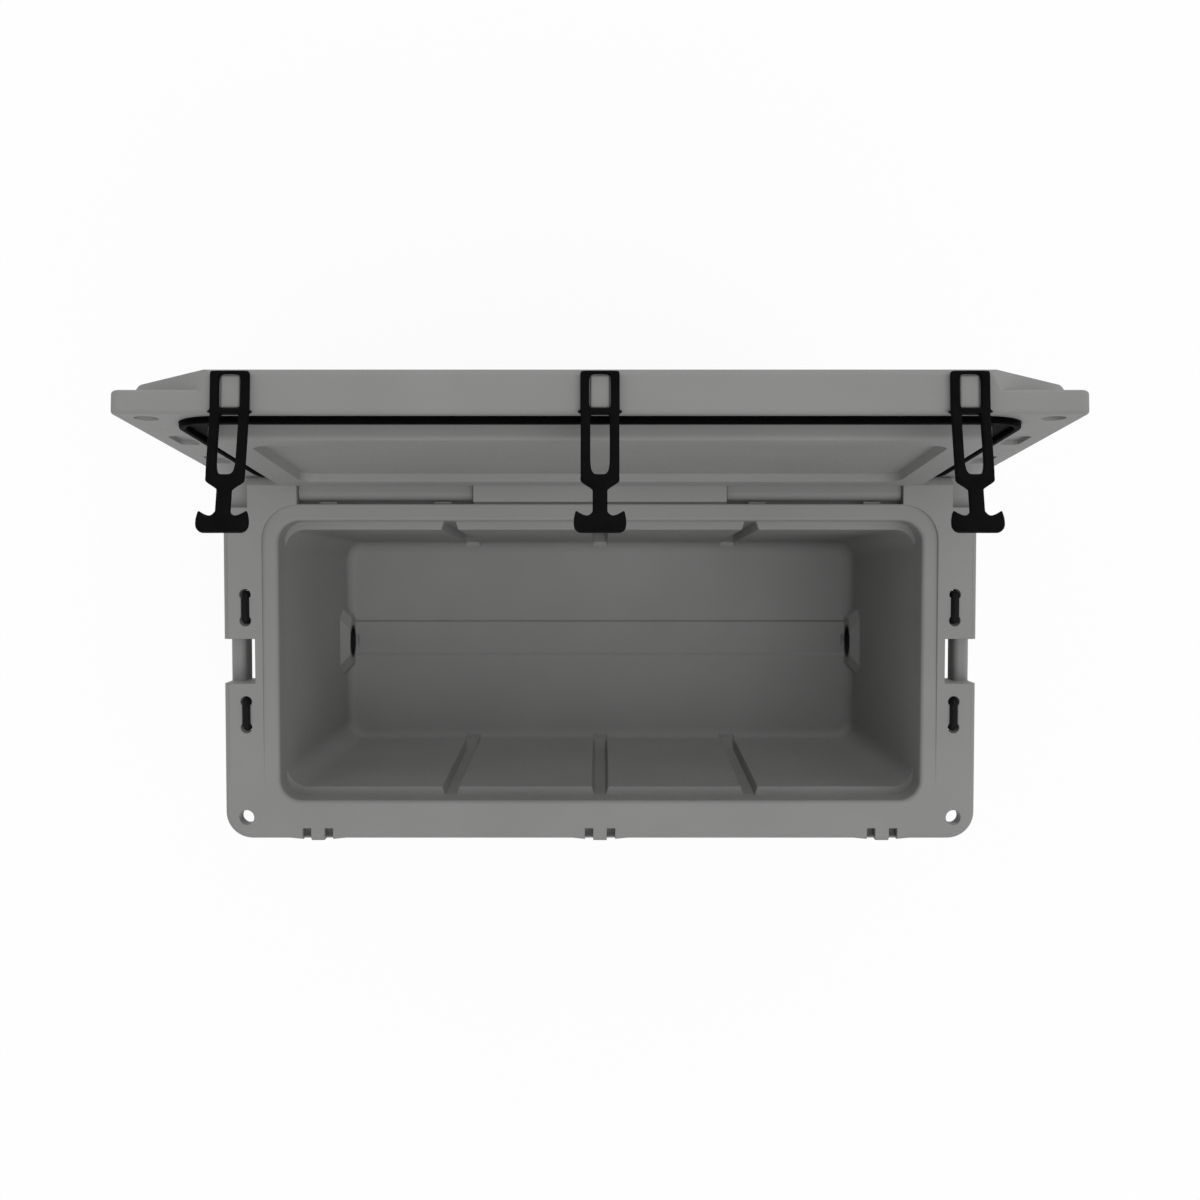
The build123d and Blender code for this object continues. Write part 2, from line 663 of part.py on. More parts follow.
# Body shell: two skins in one moulding, with a closed space between them
with BuildPart() as body_shell:
    add(tapered(TUB_BASE, 0, TUB_TOP, FLANGE_LOW))
    fillet(body_shell.edges().group_by(Axis.Z)[0], BASE_ROUND)
    for wall_side in (-1, 1):
        add(wall_panels(wall_side), mode=Mode.SUBTRACT)
    for latch_x in LATCHES.values():
        add(latch_well(latch_x), mode=Mode.SUBTRACT)
    add(rim_plate())
    for latch_x in LATCHES.values():
        add(slot_cuts(latch_x), mode=Mode.SUBTRACT)
        add(keeper(latch_x))
        add(tongue(latch_x))
    add(rim_border())
    add(rail_line(), mode=Mode.SUBTRACT)
    add(cavity_cut(), mode=Mode.SUBTRACT)
    for end_side in SIDES.values():
        add(hand_bar(end_side))
        add(end_holes(end_side), mode=Mode.SUBTRACT)
        add(hinge_recess(end_side), mode=Mode.SUBTRACT)
        add(hinge_tabs(end_side))
        add(drain_pad(end_side))
        pin_start = end_side * (KNUCKLE_X - KNUCKLE_LENGTH / 2 - PIN_BOSS)
        pin_end = end_side * (KNUCKLE_X + KNUCKLE_LENGTH / 2 + PIN_BOSS)
        add(rod_along_x(pin_start, pin_end, HINGE_Y, HINGE_Z, PIN_RADIUS), mode=Mode.SUBTRACT)
        bore_start = end_side * (DRAIN_FACE - SKIN)
        add(
            rod_along_x(bore_start, end_side * HALF_LENGTH, 0, DRAIN_Z, DRAIN_RADIUS),
            mode=Mode.SUBTRACT,
        )
        add(
            rod_along_x(end_side * DRAIN_SEAT, end_side * HALF_LENGTH, 0, DRAIN_Z, DRAIN_WELL_RADIUS),
            mode=Mode.SUBTRACT,
        )
    with BuildSketch(Plane.XY):
        with GridLocations(2 * FOOT_X, 2 * FOOT_Y, 2, 2):
            Circle(FOOT_RADIUS)
    extrude(amount=FOOT_THICK, mode=Mode.SUBTRACT)
    with BuildSketch(Plane.XY):
        with GridLocations(2 * FOOT_X, 2 * FOOT_Y, 2, 2):
            Circle(SCREW_RADIUS)
    extrude(amount=SCREW_SET_IN + SCREW_LENGTH, mode=Mode.SUBTRACT)
    add(insulation(0), mode=Mode.SUBTRACT)
body_shell.part.label = "body_shell"
export_step(body_shell.part, "parts/body_shell.step")

with BuildPart() as body_foam:
    add(insulation(FOAM_GAP))
body_foam.part.label = "body_foam"
export_step(body_foam.part, "parts/body_foam.step")


def corner_cut(side):
    """The diagonal cut across one front corner of the lid, down to the lip, its wall leaning back."""
    with BuildPart() as cut:
        for z, draft in ((LID_LOW, CORNER_CUT_DRAFT), (LID_TOP, 0.0)):
            start = LID_HALF - CORNER_CUT_LENGTH + draft
            end = start + 2 * CORNER_CUT_LENGTH
            with BuildSketch(Plane.XY.offset(z)):
                with BuildLine():
                    Polyline(
                        (side * (start - CORNER_CUT_LENGTH), -HALF_WIDTH - CORNER_CUT_WIDTH),
                        (side * end, 2 * CORNER_CUT_WIDTH - HALF_WIDTH),
                        (side * end, -HALF_WIDTH - CORNER_CUT_WIDTH),
                        close=True,
                    )
                make_face()
        loft(ruled=True)
    return cut.part


def lid_slab():
    """The closed lid's outer form: a flat deck whose front corners are cut down to a low lip."""
    outline = (2 * LID_HALF, BODY_WIDTH, LID_CORNER)
    with BuildPart() as lip:
        add(plate(outline, LID_LOW, LID_LOW + LID_LIP))
        levels = lip.edges().group_by(Axis.Z)
        fillet(levels[0] + levels[-1], LID_EDGE_ROUND)
    with BuildPart() as slab:
        add(plate(outline, LID_LOW + LID_EDGE_ROUND, LID_TOP))
        fillet(slab.edges().group_by(Axis.Z)[-1], LID_TOP_ROUND)
        for side in (-1, 1):
            add(corner_cut(side), mode=Mode.SUBTRACT)
        add(lip.part)
        panel = (BODY_LENGTH - 2 * LID_PANEL_END, BODY_WIDTH - 2 * LID_PANEL_MARGIN, FLANGE_CORNER)
        with BuildSketch(Plane.XY.offset(LID_TOP - LID_PANEL_DEPTH)):
            RectangleRounded(*panel)
        extrude(amount=LID_PANEL_DEPTH, mode=Mode.SUBTRACT)
    return slab.part


def lid_plug():
    """The raised frame under the lid that drops into the mouth."""
    inner = (PLUG[0] - 2 * PLUG_FRAME, PLUG[1] - 2 * PLUG_FRAME, PLUG[2])
    with BuildPart() as plug:
        add(plate(PLUG, LID_LOW - PLUG_DEPTH, LID_LOW))
        fillet(plug.edges().group_by(Axis.Z)[0], PLUG_ROUND)
        with BuildSketch(Plane.XY.offset(LID_LOW - PLUG_DEPTH)):
            RectangleRounded(*inner)
        extrude(amount=PLUG_RECESS, taper=PANEL_TAPER, mode=Mode.SUBTRACT)
    return plug.part


def lid_knuckle(side):
    """One hinge knuckle under the back edge of the lid, with the arm that joins it to the lid."""
    with BuildPart() as knuckle:
        with BuildSketch(Plane.YZ.offset(side * KNUCKLE_X - KNUCKLE_LENGTH / 2)):
            with Locations((HINGE_Y, HINGE_Z)):
                Circle(KNUCKLE_RADIUS)
            with Locations((HINGE_Y, (HINGE_Z + LID_LOW + LID_EDGE_ROUND) / 2)):
                Rectangle(2 * KNUCKLE_RADIUS, LID_LOW + LID_EDGE_ROUND - HINGE_Z)
            with Locations((HINGE_Y, HINGE_Z)):
                Circle(PIN_RADIUS + PIN_RUNNING, mode=Mode.SUBTRACT)
        extrude(amount=KNUCKLE_LENGTH)
    return knuckle.part


def lid_tongue(x):
    """The tongue on the lid's front face that one latch loop hooks over."""
    half = WINDOW_WIDTH / 2 - LATCH_CLEARANCE
    with BuildPart() as block:
        add(
            box_between(
                (x - half, -HALF_WIDTH - TONGUE_PROUD, ROD_Z + EYE_RADIUS + LATCH_CLEARANCE),
                (x + half, TONGUE_PROUD - HALF_WIDTH, LOOP_TOP - LOOP_BAR - LATCH_CLEARANCE),
            )
        )
        fillet(block.edges().group_by(Axis.Y)[0], TONGUE_PROUD / 2)
    return block.part


def lid_insulation(gap):
    """The foam inside the lid, smaller all over by a gap."""
    inset = LID_SKIN + gap
    deck_length = 2 * (HALF_LENGTH - LID_END_SOLID - inset)
    deck_width = BODY_WIDTH - 2 * (LID_FRONT_SOLID + inset)
    frame = PLUG_FRAME + inset
    with BuildPart() as foam:
        add(
            plate(
                (deck_length, deck_width, FLANGE_CORNER - inset),
                LID_LOW + GASKET_SEAT + inset,
                LID_TOP - LID_PANEL_DEPTH - inset,
            )
        )
        add(
            plate(
                (PLUG[0] - 2 * frame, PLUG[1] - 2 * frame, FLANGE_CORNER - inset),
                LID_LOW - PLUG_DEPTH + PLUG_RECESS + inset,
                LID_LOW + GASKET_SEAT + inset,
            )
        )
    return foam.part


def gasket_ring(margin, low, high):
    """A ring along the gasket's line, wider than the gasket by a margin on each side."""
    with BuildPart() as ring:
        add(plate(grown(GASKET, GASKET_WIDTH / 2 + margin), low, high))
        add(plate(grown(GASKET, -GASKET_WIDTH / 2 - margin), low, high), mode=Mode.SUBTRACT)
    return ring.part.moved(Pos(0, GASKET_MIDDLE, 0))


def gasket_flap():
    """The thin inner edge of the gasket, flat under the lid from the bulb to the plug."""
    with BuildPart() as flap:
        add(plate(GASKET, LID_LOW - GASKET_FLAP, LID_LOW).moved(Pos(0, GASKET_MIDDLE, 0)))
        add(plate(grown(PLUG, FLAP_CLEARANCE), LID_LOW - GASKET_FLAP, LID_LOW), mode=Mode.SUBTRACT)
    return flap.part


# Lid shell, drawn shut
with BuildPart() as closed_lid:
    add(lid_slab())
    add(lid_plug())
    for latch_x in LATCHES.values():
        add(lid_tongue(latch_x))
    for end_side in SIDES.values():
        add(lid_knuckle(end_side))
    add(gasket_ring(GASKET_CLEARANCE, LID_LOW, LID_LOW + GASKET_SEAT), mode=Mode.SUBTRACT)
    with BuildSketch(Plane.XY.offset(LID_LOW)):
        with GridLocations(2 * PADLOCK_X, 0, 2, 1):
            with Locations((0, PADLOCK_Y)):
                Circle(LID_HOLE_RADIUS)
    extrude(amount=LID_LIP, mode=Mode.SUBTRACT)
    with BuildSketch(Plane.XY.offset(LID_LOW)):
        with GridLocations(2 * ROPE_X, 2 * ROPE_MIDDLE, 2, 2):
            RectangleRounded(
                2 * (ROPE_RADIUS + ROPE_RELIEF_MARGIN),
                ROPE_PITCH + 2 * (ROPE_RADIUS + ROPE_RELIEF_MARGIN),
                ROPE_RELIEF_MARGIN,
            )
    extrude(amount=ROPE_RELIEF_DEPTH, mode=Mode.SUBTRACT)
    add(lid_insulation(0), mode=Mode.SUBTRACT)

with BuildPart() as lid_shell:
    add(closed_lid.part.moved(OPEN_TURN))
lid_shell.part.label = "lid_shell"
export_step(lid_shell.part, "parts/lid_shell.step")

with BuildPart() as lid_foam:
    add(lid_insulation(FOAM_GAP).moved(OPEN_TURN))
lid_foam.part.label = "lid_foam"
export_step(lid_foam.part, "parts/lid_foam.step")

with BuildPart() as closed_gasket:
    add(gasket_ring(0, RIM + GASKET_CLEARANCE, LID_LOW + GASKET_SEAT))
    fillet(closed_gasket.edges().group_by(Axis.Z)[0], GASKET_ROUND)
    add(gasket_flap())

with BuildPart() as lid_gasket:
    add(closed_gasket.part.moved(OPEN_TURN))
lid_gasket.part.label = "lid_gasket"
export_step(lid_gasket.part, "parts/lid_gasket.step")

# Hinge pins
for side_name, end_side in SIDES.items():
    pin_start = end_side * (KNUCKLE_X - KNUCKLE_LENGTH / 2 - PIN_BOSS)
    pin_end = end_side * (KNUCKLE_X + KNUCKLE_LENGTH / 2 + PIN_BOSS)
    with BuildPart() as hinge_pin:
        add(rod_along_x(pin_start, pin_end, HINGE_Y, HINGE_Z, PIN_RADIUS))
    hinge_pin.part.label = f"{side_name}_hinge_pin"
    export_step(hinge_pin.part, f"parts/{side_name}_hinge_pin.step")


def latch_loop(x):
    """The top of one latch, shut: a frame round the lid's tongue, with the cross bar the strap hangs on."""
    with BuildPart() as loop:
        with BuildSketch(Plane.XZ.offset(-STRAP_FRONT - STRAP_THICK)):
            with Locations((x, (LID_LOW + LOOP_LOW + LOOP_TOP) / 2)):
                Rectangle(LOOP_WIDTH, LOOP_TOP - LID_LOW - LOOP_LOW)
            with Locations((x, (LID_LOW + LOOP_TOP) / 2 - LOOP_BAR)):
                Rectangle(WINDOW_WIDTH, LOOP_TOP - LID_LOW, mode=Mode.SUBTRACT)
        extrude(amount=STRAP_THICK)
        add(rod_along_x(x - WINDOW_WIDTH / 2, x + WINDOW_WIDTH / 2, STRAP_Y, ROD_Z, ROD_RADIUS))
    return loop.part


def latch_strap(x):
    """The hanging part of one latch, drawn straight down: eye, window, shoulders, neck and T handle."""
    head = ROD_Z - STRAP_HEAD_GAP
    edge = [
        (STRAP_WIDTH / 2, head),
        (STRAP_WIDTH / 2, LID_LOW - SHOULDER_DROP),
        (NECK_WIDTH / 2, LID_LOW - NECK_START),
        (NECK_WIDTH / 2, LID_LOW - T_SADDLE + T_ROUND / 2),
        (NECK_WIDTH, LID_LOW - T_SADDLE),
        (T_WIDTH / 2, LID_LOW - T_HORN),
        (T_WIDTH / 2, LID_LOW - T_BOTTOM),
    ]
    outline = [(x + across, z) for across, z in edge]
    outline += [(x - across, z) for across, z in reversed(edge)]
    with BuildPart() as strap:
        with BuildSketch(Plane.XZ.offset(-STRAP_FRONT - STRAP_THICK)):
            with BuildLine():
                Polyline(*outline, close=True)
            make_face()
            fillet(vertices().group_by(Axis.Y)[0], T_ROUND)
            with Locations((x, (head - STRAP_HEAD + LID_LOW - WINDOW_END) / 2)):
                Rectangle(WINDOW_WIDTH, head - STRAP_HEAD - LID_LOW + WINDOW_END, mode=Mode.SUBTRACT)
        extrude(amount=STRAP_THICK)
        with BuildSketch(Plane.YZ.offset(x - EYE_WIDTH / 2)):
            with Locations((STRAP_Y, ROD_Z)):
                Circle(EYE_RADIUS)
            with Locations((STRAP_Y, (ROD_Z + head) / 2)):
                Rectangle(2 * EYE_RADIUS, ROD_Z - head)
            with Locations((STRAP_Y, ROD_Z)):
                Circle(ROD_RADIUS + ROD_RUNNING, mode=Mode.SUBTRACT)
        extrude(amount=EYE_WIDTH)
    return strap.part


# Latches: the strap leans out a little from the loop, then both turn open with the lid
for latch_name, latch_x in LATCHES.items():
    with BuildPart() as loop_piece:
        add(latch_loop(latch_x).moved(OPEN_TURN))
    loop_piece.part.label = f"{latch_name}_latch_loop"
    export_step(loop_piece.part, f"parts/{latch_name}_latch_loop.step")
    with BuildPart() as strap_piece:
        add(latch_strap(latch_x).moved(OPEN_TURN * LEAN_TURN))
    strap_piece.part.label = f"{latch_name}_latch_strap"
    export_step(strap_piece.part, f"parts/{latch_name}_latch_strap.step")


def drain_piece(side, start, end, outer, inner):
    """A ring on one drain's axis, between two distances from the middle of the chest."""
    with BuildPart() as ring:
        with BuildSketch(Plane.YZ.offset(side * start)):
            with Locations((0, DRAIN_Z)):
                Circle(outer)
                if inner:
                    Circle(inner, mode=Mode.SUBTRACT)
        extrude(amount=side * (end - start))
    return ring.part


# Drains: a fitting moulded into each end wall, and a screw plug with its sealing washer
for side_name, end_side in SIDES.items():
    with BuildPart() as drain_fitting:
        add(drain_piece(end_side, DRAIN_FACE, DRAIN_SEAT, DRAIN_RADIUS - DRAIN_CLEARANCE, DRAIN_BORE))
        add(drain_piece(end_side, DRAIN_SEAT, FITTING_FACE, DRAIN_FLANGE_RADIUS, DRAIN_BORE))
    drain_fitting.part.label = f"{side_name}_drain_fitting"
    export_step(drain_fitting.part, f"parts/{side_name}_drain_fitting.step")
    with BuildPart() as plug_washer:
        add(drain_piece(end_side, FITTING_FACE, WASHER_FACE, WASHER_RADIUS, DRAIN_BORE))
    plug_washer.part.label = f"{side_name}_plug_washer"
    export_step(plug_washer.part, f"parts/{side_name}_plug_washer.step")
    with BuildPart() as drain_plug:
        add(drain_piece(end_side, WASHER_FACE - CAP_SHANK, WASHER_FACE, DRAIN_BORE - CAP_CLEARANCE, 0))
        add(drain_piece(end_side, WASHER_FACE, CAP_FACE, CAP_RADIUS, 0))
        with BuildSketch(Plane.YZ.offset(end_side * CAP_FACE)):
            with Locations((0, DRAIN_Z)):
                RectangleRounded(WING_LENGTH, WING_WIDTH, WING_WIDTH / 3)
        extrude(amount=end_side * WING_HEIGHT)
    drain_plug.part.label = f"{side_name}_drain_plug"
    export_step(drain_plug.part, f"parts/{side_name}_drain_plug.step")


def rope_saddle(side, end):
    """The stretch of rope that lies over the flange, down through its two holes."""
    top = RIM + ROPE_RADIUS - ROPE_TROUGH
    points = [
        (side * ROPE_X, end * ROPE_INNER, FLANGE_LOW - STOP_LENGTH),
        (side * ROPE_X, end * ROPE_INNER, top),
        (side * ROPE_X, end * ROPE_OUTER, top),
        (side * ROPE_X, end * ROPE_OUTER, ROPE_PIVOT_Z + ROPE_RADIUS + ROPE_CLEARANCE),
    ]
    return tube_along(points, ROPE_BEND, ROPE_RADIUS)


# Hanging rope: both ends turn at the flange, and the middle runs straight through the grip
hanging = [(ROPE_OUTER, 0.0)] + ROPE_KNEES
hanging = hanging + [(-y, drop) for y, drop in reversed(hanging)]
runs = [(Vector(*b) - Vector(*a)) for a, b in zip(hanging, hanging[1:])]
rope_radii = [
    ROPE_ARC_SHARE * min(a.length, b.length) / tan(radians(a.get_angle(b)) / 2)
    for a, b in zip(runs, runs[1:])
]

for side_name, end_side in SIDES.items():
    with BuildPart() as rope_saddles:
        for rope_end in (-1, 1):
            add(rope_saddle(end_side, rope_end))
    rope_saddles.part.label = f"{side_name}_rope_saddles"
    export_step(rope_saddles.part, f"parts/{side_name}_rope_saddles.step")
    with BuildPart() as rope_stops:
        with BuildSketch(Plane.XY.offset(FLANGE_LOW - STOP_LENGTH)):
            with Locations((end_side * ROPE_X, -ROPE_INNER), (end_side * ROPE_X, ROPE_INNER)):
                Circle(STOP_RADIUS)
                Circle(ROPE_RADIUS + ROPE_CLEARANCE, mode=Mode.SUBTRACT)
        extrude(amount=STOP_LENGTH)
    rope_stops.part.label = f"{side_name}_rope_stops"
    export_step(rope_stops.part, f"parts/{side_name}_rope_stops.step")
    route = [(end_side * ROPE_X, y, ROPE_PIVOT_Z - drop) for y, drop in hanging]
    with BuildPart() as rope_bail:
        add(tube_along(route, rope_radii, ROPE_RADIUS))
        with Locations(
            (end_side * ROPE_X, -ROPE_OUTER, ROPE_PIVOT_Z),
            (end_side * ROPE_X, ROPE_OUTER, ROPE_PIVOT_Z),
        ):
            Sphere(ROPE_RADIUS)
    rope_bail.part.label = f"{side_name}_rope_bail"
    export_step(rope_bail.part, f"parts/{side_name}_rope_bail.step")
    with BuildPart() as rope_grip:
        with BuildSketch(Plane.XZ.offset(-GRIP_LENGTH / 2)):
            with Locations((end_side * ROPE_X, GRIP_Z)):
                Circle(GRIP_RADIUS)
        extrude(amount=GRIP_LENGTH)
        fillet(rope_grip.edges().filter_by(GeomType.CIRCLE), GRIP_ROUND)
        with BuildSketch(Plane.XZ.offset(-GRIP_LENGTH / 2)):
            with Locations((end_side * ROPE_X, GRIP_Z)):
                Circle(ROPE_RADIUS + ROPE_CLEARANCE)
        extrude(amount=GRIP_LENGTH, mode=Mode.SUBTRACT)
    rope_grip.part.label = f"{side_name}_rope_grip"
    export_step(rope_grip.part, f"parts/{side_name}_rope_grip.step")

# Feet: rubber pads set flush into the base, each held by a screw
for side_name, end_side in SIDES.items():
    for row_name, row_side in {"front": -1, "back": 1}.items():
        with BuildPart() as foot:
            with BuildSketch(Plane.XY):
                with Locations((end_side * FOOT_X, row_side * FOOT_Y)):
                    Circle(FOOT_RADIUS - FOOT_CLEARANCE)
            extrude(amount=FOOT_THICK)
            with BuildSketch(Plane.XY):
                with Locations((end_side * FOOT_X, row_side * FOOT_Y)):
                    Circle(SCREW_RADIUS + FOOT_CLEARANCE)
            extrude(amount=FOOT_THICK, mode=Mode.SUBTRACT)
            with BuildSketch(Plane.XY):
                with Locations((end_side * FOOT_X, row_side * FOOT_Y)):
                    Circle(SCREW_HEAD_RADIUS + FOOT_CLEARANCE)
            extrude(amount=SCREW_SET_IN + SCREW_HEAD_THICK, mode=Mode.SUBTRACT)
        foot.part.label = f"{row_name}_{side_name}_foot"
        export_step(foot.part, f"parts/{row_name}_{side_name}_foot.step")

with BuildPart() as foot_screws:
    with BuildSketch(Plane.XY.offset(SCREW_SET_IN)):
        with GridLocations(2 * FOOT_X, 2 * FOOT_Y, 2, 2):
            Circle(SCREW_HEAD_RADIUS)
    extrude(amount=SCREW_HEAD_THICK)
    with BuildSketch(Plane.XY.offset(SCREW_SET_IN)):
        with GridLocations(2 * FOOT_X, 2 * FOOT_Y, 2, 2):
            Circle(SCREW_RADIUS)
    extrude(amount=SCREW_LENGTH)
foot_screws.part.label = "foot_screws"
export_step(foot_screws.part, "parts/foot_screws.step")
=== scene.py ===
"""Ice chest with its lid open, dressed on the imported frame, in metres.

X runs along the chest, +Y points to the hinge side, +Z is up. The camera looks down into the open chest.
"""

import json
from math import cos, pi, radians, sin

import bmesh
import bpy
import numpy as np
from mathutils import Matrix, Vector


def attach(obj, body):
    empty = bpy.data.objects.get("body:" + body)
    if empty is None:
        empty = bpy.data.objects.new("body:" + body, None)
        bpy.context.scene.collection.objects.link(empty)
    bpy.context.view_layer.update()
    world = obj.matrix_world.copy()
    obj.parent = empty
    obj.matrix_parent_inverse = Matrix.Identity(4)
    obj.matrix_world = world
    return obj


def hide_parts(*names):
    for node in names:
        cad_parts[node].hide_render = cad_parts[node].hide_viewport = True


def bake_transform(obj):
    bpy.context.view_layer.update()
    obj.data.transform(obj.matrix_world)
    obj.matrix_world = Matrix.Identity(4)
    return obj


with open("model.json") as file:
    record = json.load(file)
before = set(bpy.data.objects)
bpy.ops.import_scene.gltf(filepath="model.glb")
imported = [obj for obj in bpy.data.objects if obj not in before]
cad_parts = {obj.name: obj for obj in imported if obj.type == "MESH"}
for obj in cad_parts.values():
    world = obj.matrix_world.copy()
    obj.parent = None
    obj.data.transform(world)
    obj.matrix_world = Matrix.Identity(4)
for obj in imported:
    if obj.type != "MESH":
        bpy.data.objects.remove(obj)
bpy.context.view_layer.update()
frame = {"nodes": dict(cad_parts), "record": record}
scene = bpy.context.scene
scene.view_settings.view_transform = "Standard"
MM = 0.001

# Camera: almost straight down, a little behind the middle of the chest
CAMERA_PLACE = (0.0, 0.1554, 2.3167)
CAMERA_TILT = radians(-2.37)
CAMERA_LENS = 43.92
CAMERA_SENSOR = 36.0
camera_data = bpy.data.cameras.new("camera")
camera_data.sensor_width = CAMERA_SENSOR
camera_data.lens = CAMERA_LENS
camera = bpy.data.objects.new("camera", camera_data)
camera.location = CAMERA_PLACE
camera.rotation_euler = (CAMERA_TILT, 0.0, 0.0)
scene.collection.objects.link(camera)
scene.camera = camera

# Rope handles: where the rope crosses the flange and where it hangs, as in the part's own sizes
SIDES = {"left": -1, "right": 1}
ROPE_RADIUS = 5.0 * MM
ROPE_X = 452.0 * MM
ROPE_PIVOT_Z = 424.0 * MM
ROPE_INNER = 52.0 * MM
ROPE_OUTER = 85.0 * MM
ROPE_TOP = 453.0 * MM
ROPE_CROWN = 0.4 * MM
ROPE_IN_HOLE = 437.0 * MM
ROPE_TAIL = 414.0 * MM
GRIP_Z = 316.0 * MM
GRIP_HALF = 42.0 * MM

# Latches: the hinge line of the lid, and the rod line that the strap swings on with the lid shut
HINGE_Y = 214.0 * MM
HINGE_Z = 438.0 * MM
LID_OPEN = radians(95.7)
LID_LOW = 459.0 * MM
STRAP_Y = -232.4 * MM
ROD_Z = 459.9 * MM
STRAP_LEAN = radians(11.0)
LATCHES = {"left": -362.0 * MM, "middle": 0.0, "right": 362.0 * MM}

MERGE_WITHIN = 1e-6
FLAT_WITHIN = 1e-7


def new_object(name, mesh):
    """An object at the origin that holds a mesh."""
    piece = bpy.data.objects.new(name, mesh)
    scene.collection.objects.link(piece)
    return piece


def grid_mesh(name, points, wrap_rows, wrap_columns):
    """Quads over a grid of points, rows by columns; a wrapped way joins its last line to its first."""
    rows, columns = points.shape[:2]
    index = np.arange(rows * columns).reshape(rows, columns)
    if wrap_rows:
        index = np.vstack([index, index[:1]])
    if wrap_columns:
        index = np.hstack([index, index[:, :1]])
    quads = np.stack([index[:-1, :-1], index[:-1, 1:], index[1:, 1:], index[1:, :-1]], axis=-1)
    mesh = bpy.data.meshes.new(name)
    mesh.from_pydata(points.reshape(-1, 3).tolist(), [], quads.reshape(-1, 4).tolist())
    mesh.validate()
    return mesh


def finished(mesh):
    """The mesh with doubled points merged, faces outwards and smooth shading."""
    work = bmesh.new()
    work.from_mesh(mesh)
    bmesh.ops.remove_doubles(work, verts=work.verts, dist=MERGE_WITHIN)
    bmesh.ops.dissolve_degenerate(work, edges=work.edges, dist=FLAT_WITHIN)
    bmesh.ops.recalc_face_normals(work, faces=work.faces)
    work.to_mesh(mesh)
    work.free()
    mesh.shade_smooth()
    return mesh


def smooth_step(way):
    """From zero to one along a way, level at both ends."""
    return way * way * (3 - 2 * way)


# Finishes

NOISE_LOW = 0.3
NOISE_HIGH = 0.7


def node_material(name, roughness, specular=0.5):
    """A new node material, with its tree and its shader."""
    material = bpy.data.materials.new(name)
    material.use_nodes = True
    tree = material.node_tree
    shader = tree.nodes["Principled BSDF"]
    shader.inputs["Roughness"].default_value = roughness
    shader.inputs["Specular IOR Level"].default_value = specular
    return material, tree, shader


def noise(tree, scale, detail=2.0):
    """A noise pattern in the object's own metres."""
    place = tree.nodes.new("ShaderNodeTexCoord")
    pattern = tree.nodes.new("ShaderNodeTexNoise")
    pattern.inputs["Scale"].default_value = scale
    pattern.inputs["Detail"].default_value = detail
    tree.links.new(place.outputs["Object"], pattern.inputs["Vector"])
    return pattern.outputs["Fac"]


def spread(tree, value, low=0.0, high=1.0):
    """The middle of a noise pattern carried onto a range."""
    node = tree.nodes.new("ShaderNodeMapRange")
    node.inputs["From Min"].default_value = NOISE_LOW
    node.inputs["From Max"].default_value = NOISE_HIGH
    node.inputs["To Min"].default_value = low
    node.inputs["To Max"].default_value = high
    tree.links.new(value, node.inputs["Value"])
    return node.outputs["Result"]


def tint(tree, value, dark, light):
    """A colour between two, by a pattern."""
    node = tree.nodes.new("ShaderNodeMix")
    node.data_type = "RGBA"
    node.inputs["A"].default_value = (*dark, 1.0)
    node.inputs["B"].default_value = (*light, 1.0)
    tree.links.new(value, node.inputs["Factor"])
    return node.outputs["Result"]


def bumped(tree, value, strength, distance, below=None):
    """A bump from a pattern, on top of another normal."""
    node = tree.nodes.new("ShaderNodeBump")
    node.inputs["Strength"].default_value = strength
    node.inputs["Distance"].default_value = distance
    tree.links.new(value, node.inputs["Height"])
    if below is not None:
        tree.links.new(below, node.inputs["Normal"])
    return node.outputs["Normal"]


def wire(tree, shader, colour, roughness=None, normal=None):
    """Patterns linked to the shader's colour, roughness and normal."""
    for socket, pattern in (("Base Color", colour), ("Roughness", roughness), ("Normal", normal)):
        if pattern is not None:
            tree.links.new(pattern, shader.inputs[socket])


def moulded_plastic():
    """Rotomoulded polyethylene: a matte grey with a faint cloud, a fine pebble and soft edges."""
    material, tree, shader = node_material("moulded_grey", roughness=0.55, specular=0.25)
    cloud = spread(tree, noise(tree, scale=7.0, detail=3.0))
    edge = tree.nodes.new("ShaderNodeBevel")
    edge.samples = 4
    edge.inputs["Radius"].default_value = 1.8 * MM
    swell = noise(tree, scale=45.0)
    swelled = bumped(tree, swell, strength=0.12, distance=0.8 * MM, below=edge.outputs["Normal"])
    pebble = noise(tree, scale=900.0, detail=3.0)
    wire(
        tree,
        shader,
        colour=tint(tree, cloud, dark=(0.226, 0.226, 0.223), light=(0.246, 0.246, 0.243)),
        roughness=spread(tree, noise(tree, scale=260.0), low=0.5, high=0.62),
        normal=bumped(tree, pebble, strength=0.22, distance=0.3 * MM, below=swelled),
    )
    return material


def black_rubber(name, specular, dark, light):
    """Matte black rubber with a fine mould grain and a slight bloom."""
    material, tree, shader = node_material(name, roughness=0.6, specular=specular)
    bloom = spread(tree, noise(tree, scale=60.0, detail=3.0))
    wire(
        tree,
        shader,
        colour=tint(tree, bloom, dark, light),
        roughness=spread(tree, noise(tree, scale=300.0), low=0.52, high=0.68),
        normal=bumped(tree, noise(tree, scale=1100.0), strength=0.15, distance=0.2 * MM),
    )
    return material


def black_plastic():
    """Injection-moulded black plastic, a little glossier than the rubber."""
    material, tree, shader = node_material("moulded_black", roughness=0.42, specular=0.12)
    cloud = spread(tree, noise(tree, scale=40.0))
    wire(
        tree,
        shader,
        colour=tint(tree, cloud, dark=(0.009, 0.009, 0.0095), light=(0.014, 0.014, 0.015)),
        roughness=spread(tree, noise(tree, scale=400.0), low=0.38, high=0.48),
        normal=bumped(tree, noise(tree, scale=800.0), strength=0.12, distance=0.2 * MM),
    )
    return material


